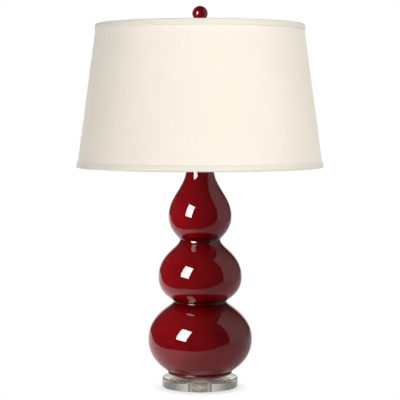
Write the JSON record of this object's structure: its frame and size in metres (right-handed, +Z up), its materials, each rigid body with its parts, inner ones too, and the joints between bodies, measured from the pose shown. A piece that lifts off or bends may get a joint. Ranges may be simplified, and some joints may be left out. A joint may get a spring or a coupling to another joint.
{
  "type": "table lamp",
  "caption": "Table lamp with a waisted gourd body in glossy ceramic on a clear disc, a tapered drum shade held by a harp, and a ball finial.",
  "frame": {"origin": "centre of the lamp's round base, on the table under the bumper feet", "axes": "+Z up along the lamp's axis, -Y the front (the side of the turn switch), +X to the right seen from the front"},
  "size_m": [0.4826, 0.4826, 0.7462],
  "materials": {
    "red_glaze": "deep red high-gloss glaze",
    "clear_acrylic": "clear, polished",
    "clear_rubber": "clear soft bumper",
    "plated_steel": "zinc plated",
    "dark_plastic": "moulded, dark brown",
    "black_plastic": "moulded, semi-gloss",
    "brass": "polished, lacquered",
    "socket_brass": "spun sheet, satin",
    "insulating_card": "waxed fibre sleeve",
    "aluminium": "drawn, bright",
    "black_glass": "fused black glass",
    "frosted_glass": "inside-frosted white",
    "shade_fabric": "off-white linen-look cloth",
    "shade_lining": "white hardback sheet",
    "trim_fabric": "folded strip of the shade's cloth",
    "ring_wire": "white-painted steel wire"
  },
  "bodies": {
    "base": {"bumper_feet": "clear_rubber", "acrylic_base": "clear_acrylic", "base_washer": "plated_steel", "base_lock_washer": "plated_steel", "base_nut": "plated_steel", "lamp_pipe": "plated_steel", "gourd_body": "red_glaze", "cord_bushing": "dark_plastic", "neck_cap": "brass", "neck_lock_nut": "brass", "harp_saddle": "brass", "socket_cap": "socket_brass", "socket_set_screw": "plated_steel", "socket_shell": "socket_brass", "socket_insulator": "insulating_card", "socket_interior": "dark_plastic", "socket_screw_shell": "aluminium", "socket_contact": "brass", "terminal_screws": "brass"},
    "switch_key": {"switch_shaft": "brass", "switch_knob": "black_plastic"},
    "bulb": {"bulb_contact": "plated_steel", "bulb_insulator": "black_glass", "bulb_base": "aluminium", "bulb_glass": "frosted_glass"},
    "harp": {"harp_wire": "brass", "harp_stud": "brass"},
    "ferrule_left": {"harp_ferrule_left": "brass"},
    "ferrule_right": {"harp_ferrule_right": "brass"},
    "washer": {"finial_washer": "brass"},
    "shade": {"shade_cover": "shade_fabric", "shade_lining": "shade_lining", "shade_top_trim": "trim_fabric", "shade_bottom_trim": "trim_fabric", "shade_top_ring": "ring_wire", "shade_bottom_ring": "ring_wire", "spider_hub": "brass", "spider_arm_1": "brass", "spider_arm_2": "brass", "spider_arm_3": "brass"},
    "finial": {"finial_base": "brass", "finial_ball": "red_glaze"}
  },
  "joints": [
    {"name": "knob_turn", "type": "hinge", "parent": "base", "child": "switch_key", "pos_m": [0, -0.02125, 0.473], "axis": [0, -1, 0], "continuous": true},
    {"name": "bulb_lift", "type": "slide", "parent": "base", "child": "bulb", "axis": [0, 0, 1], "range_m": [0, 0.06]},
    {"name": "harp_lift", "type": "slide", "parent": "base", "child": "harp", "axis": [0, 0, 1], "range_m": [0, 0.025]},
    {"name": "ferrule_left_slide", "type": "slide", "parent": "harp", "child": "ferrule_left", "axis": [0, 0, 1], "range_m": [0, 0.012]},
    {"name": "ferrule_right_slide", "type": "slide", "parent": "harp", "child": "ferrule_right", "axis": [0, 0, 1], "range_m": [0, 0.012]},
    {"name": "shade_lift", "type": "slide", "parent": "harp", "child": "washer", "axis": [0, 0, 1], "range_m": [0, 0.3]},
    {"name": "shade_swivel", "type": "hinge", "parent": "washer", "child": "shade", "pos_m": [0, 0, 0.7], "axis": [0, 0, 1], "continuous": true},
    {"name": "finial_turn", "type": "hinge", "parent": "washer", "child": "finial", "pos_m": [0, 0, 0.71], "axis": [0, 0, 1], "continuous": true}
  ]
}
